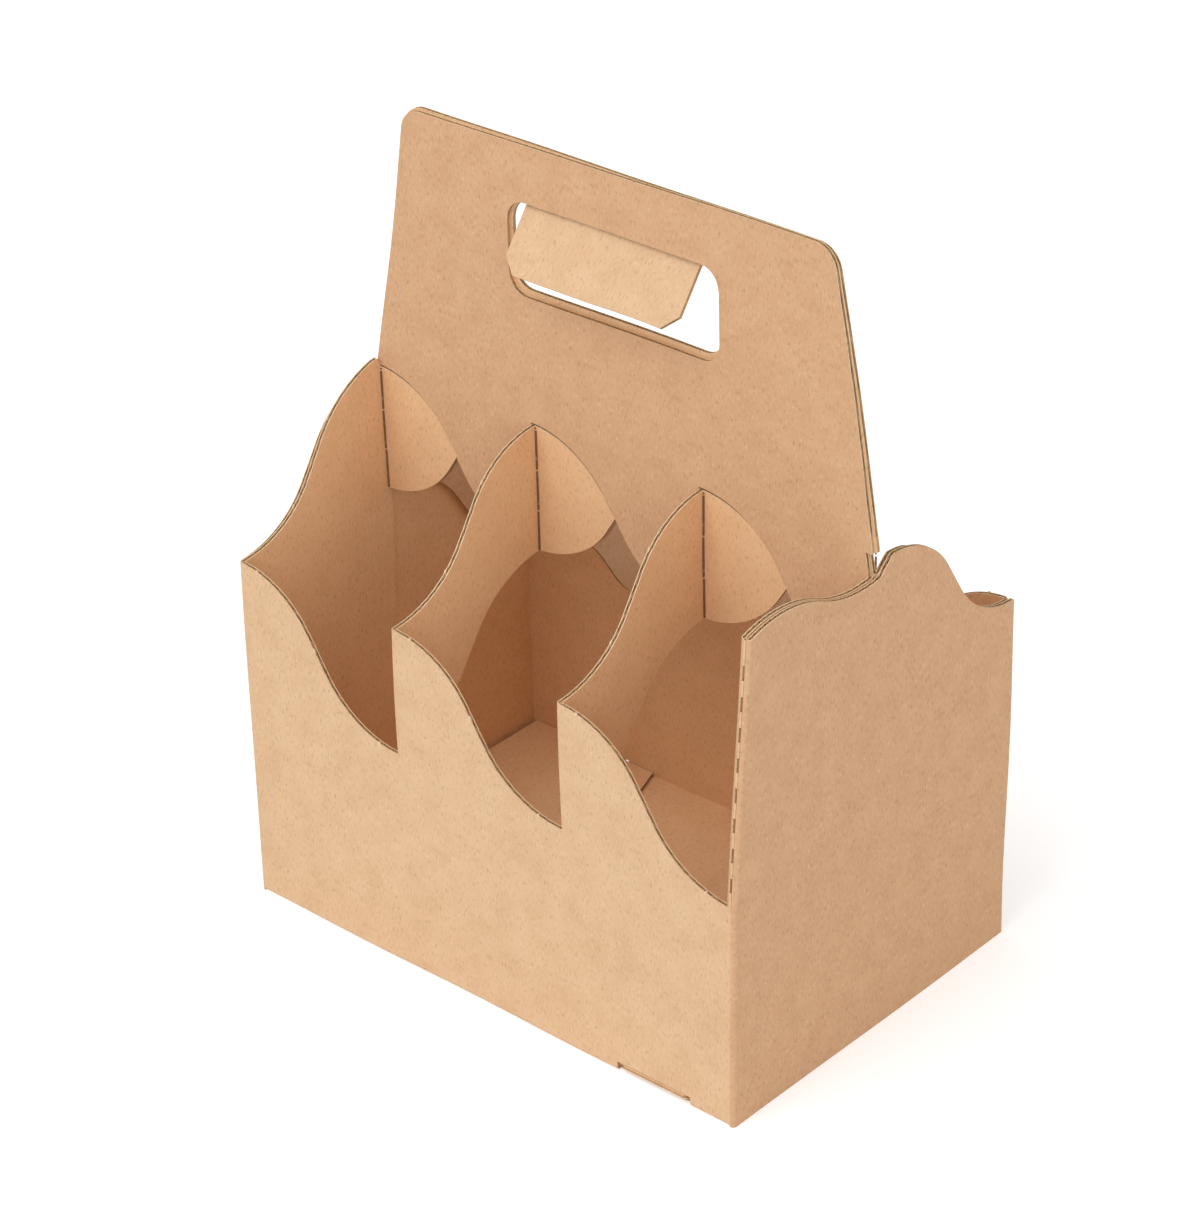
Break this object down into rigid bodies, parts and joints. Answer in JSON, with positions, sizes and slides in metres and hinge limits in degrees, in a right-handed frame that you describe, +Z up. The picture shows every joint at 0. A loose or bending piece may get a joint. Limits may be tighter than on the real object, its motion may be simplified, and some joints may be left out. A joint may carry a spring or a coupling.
{
  "type": "bottle carrier",
  "caption": "Open carrier of folded kraft corrugated board with square cells for bottles either side of a tall tapered handle with a hand hole and flap.",
  "frame": {"origin": "centre of the base, on the surface that the carrier stands on", "axes": "+Z up, +X along the handle, +Y towards the back wall"},
  "size_m": [0.2002, 0.1334, 0.2555],
  "materials": {
    "kraft_board": "matt unbleached kraft liner"
  },
  "bodies": {
    "carrier": {"front_blank": "kraft_board", "back_blank": "kraft_board"},
    "hand_flap": {"handle_flap": "kraft_board"}
  },
  "joints": [
    {"name": "flap_fold", "type": "hinge", "parent": "carrier", "child": "hand_flap", "pos_m": [0, 0.00075, 0.23575], "axis": [-1, 0, 0], "range_deg": [-36, 54]}
  ]
}
